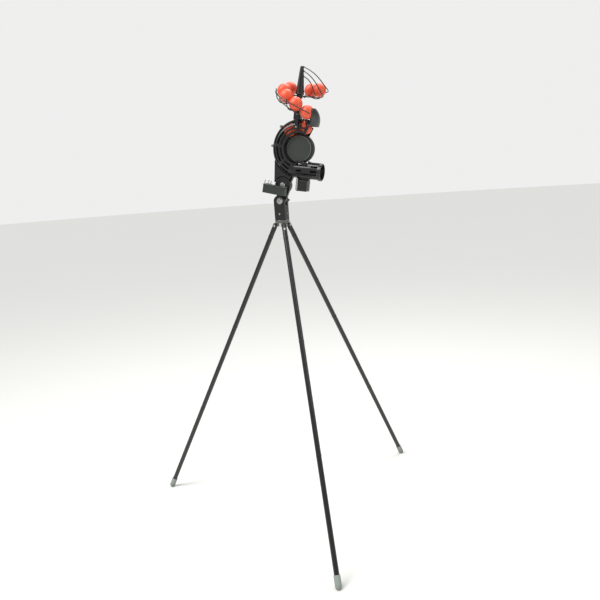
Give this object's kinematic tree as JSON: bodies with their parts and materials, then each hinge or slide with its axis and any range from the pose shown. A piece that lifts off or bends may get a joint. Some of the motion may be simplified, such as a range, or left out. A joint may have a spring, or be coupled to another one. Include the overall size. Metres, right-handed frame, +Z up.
{
  "type": "cricket bowling machine",
  "caption": "Small one-wheel cricket bowling machine: slotted C channel, short barrel, wire spiral ball feeder and control box on a folding tripod.",
  "frame": {"origin": "middle of the footprint on the ground", "axes": "+Z up, +X the shooting direction, -Y the side that carries the control box"},
  "size_m": [0.8163, 0.9394, 1.4722],
  "materials": {
    "leg_paint": "satin black powder coat on round tube",
    "hub_alloy": "satin anodised",
    "neck_coat": "satin black, fine grain",
    "plated_steel": "bright zinc plate",
    "moulding": "fine-grained black moulding",
    "box_moulding": "fine-grained dark grey moulding",
    "chute_moulding": "polished black moulding",
    "wire": "black dip coat on wire",
    "wheel_rubber": "matte ground rubber",
    "cap_moulding": "matte moulding",
    "motor_case": "blackened steel",
    "foot_rubber": "soft grey moulding",
    "ball": "orange-red practice ball",
    "board": "lacquered circuit board"
  },
  "bodies": {
    "hub": {"hub_plate": "hub_alloy", "leg_hinge_pin_1": "plated_steel", "leg_hinge_pin_2": "plated_steel", "leg_hinge_pin_3": "plated_steel", "pan_bolt": "plated_steel"},
    "neck": {"neck_block": "neck_coat", "tilt_washer": "plated_steel", "tilt_bolt": "plated_steel"},
    "base_knob": {"tilt_knob": "moulding"},
    "cradle": {"cradle_bracket": "moulding", "box_tray": "box_moulding", "box_lid": "box_moulding", "circuit_board": "board", "switch_collar": "plated_steel", "lid_loop": "plated_steel", "joint_axle": "plated_steel"},
    "power_switch": {"switch_lever": "plated_steel"},
    "dial": {"speed_dial": "moulding"},
    "clamp": {"clamp_lever": "moulding"},
    "head": {"column": "moulding", "channel_front": "moulding", "channel_back": "moulding", "barrel": "moulding", "motor": "motor_case", "gate_solenoid": "motor_case", "feeder_socket": "moulding", "elbow_chute": "chute_moulding", "channel_ball_1": "ball", "channel_ball_2": "ball", "feeder_ball_7": "ball"},
    "wheel": {"wheel_tyre": "wheel_rubber", "wheel_hub": "moulding", "wheel_cap": "cap_moulding", "motor_shaft": "plated_steel"},
    "gate": {"gate_pin": "plated_steel"},
    "feeder": {"feeder_post": "moulding", "wire_spiral": "wire", "feeder_ball_1": "ball", "feeder_ball_2": "ball", "feeder_ball_3": "ball", "feeder_ball_4": "ball", "feeder_ball_5": "ball", "feeder_ball_6": "ball"},
    "battery": {"battery_pack": "moulding"},
    "latch": {"battery_latch": "plated_steel"},
    "leg_1": {"leg_fork_1": "leg_paint", "leg_upper_tube_1": "leg_paint", "leg_middle_tube_1": "leg_paint", "leg_lower_tube_1": "leg_paint", "leg_foot_1": "foot_rubber"},
    "leg_2": {"leg_fork_2": "leg_paint", "leg_upper_tube_2": "leg_paint", "leg_middle_tube_2": "leg_paint", "leg_lower_tube_2": "leg_paint", "leg_foot_2": "foot_rubber"},
    "leg_3": {"leg_fork_3": "leg_paint", "leg_upper_tube_3": "leg_paint", "leg_middle_tube_3": "leg_paint", "leg_lower_tube_3": "leg_paint", "leg_foot_3": "foot_rubber"}
  },
  "joints": [
    {"name": "leg_fold_1", "type": "hinge", "parent": "hub", "child": "leg_1", "pos_m": [0.1461, -0.02312, 0.98151], "axis": [0.866, 0.5, 0], "range_deg": [0, 27]},
    {"name": "leg_fold_2", "type": "hinge", "parent": "hub", "child": "leg_2", "pos_m": [0.1461, 0.02312, 0.98151], "axis": [-0.866, 0.5, 0], "range_deg": [0, 27]},
    {"name": "leg_fold_3", "type": "hinge", "parent": "hub", "child": "leg_3", "pos_m": [0.10606, 0, 0.98151], "axis": [0, -1, 0], "range_deg": [0, 27]},
    {"name": "head_pan", "type": "hinge", "parent": "hub", "child": "neck", "pos_m": [0.13275, 0, 1], "axis": [0, 0, 1], "range_deg": [-180, 180]},
    {"name": "base_tilt", "type": "hinge", "parent": "neck", "child": "cradle", "pos_m": [0.13675, 0, 1.062], "axis": [0, 1, 0], "range_deg": [-20, 20]},
    {"name": "base_knob_turn", "type": "hinge", "parent": "neck", "child": "base_knob", "pos_m": [0.13675, 0, 1.062], "axis": [0, 1, 0], "range_deg": [-180, 180]},
    {"name": "head_tilt", "type": "hinge", "parent": "cradle", "child": "head", "pos_m": [0.14453, 0, 1.11155], "axis": [0, 1, 0], "range_deg": [-15, 20]},
    {"name": "clamp_lever_turn", "type": "hinge", "parent": "cradle", "child": "clamp", "pos_m": [0.14453, 0, 1.11155], "axis": [0, 1, 0], "range_deg": [-45, 25]},
    {"name": "power_switch_tip", "type": "hinge", "parent": "cradle", "child": "power_switch", "pos_m": [0.10938, -0.024, 1.11721], "axis": [0, 1, 0], "range_deg": [-24, 0]},
    {"name": "speed_dial_turn", "type": "hinge", "parent": "cradle", "child": "dial", "pos_m": [0.10406, -0.01, 1.10255], "axis": [0, 1, 0], "range_deg": [0, 270]},
    {"name": "wheel_spin", "type": "hinge", "parent": "head", "child": "wheel", "pos_m": [0.21275, 0, 1.222], "axis": [0, 1, 0], "continuous": true},
    {"name": "gate_pin_slide", "type": "slide", "parent": "head", "child": "gate", "axis": [0, 1, 0], "range_m": [0, 0.016], "stiffness_N_per_m": 60},
    {"name": "feeder_lift", "type": "slide", "parent": "head", "child": "feeder", "axis": [0.165, 0, 0.9863], "range_m": [0, 0.03]},
    {"name": "battery_slide", "type": "slide", "parent": "head", "child": "battery", "axis": [0.9863, 0, -0.165], "range_m": [0, 0.045]},
    {"name": "battery_latch_turn", "type": "hinge", "parent": "head", "child": "latch", "pos_m": [0.20139, -0.0195, 1.12991], "axis": [-0.9863, 0, 0.165], "range_deg": [0, 60], "stiffness_Nm_per_rad": 0.02}
  ]
}
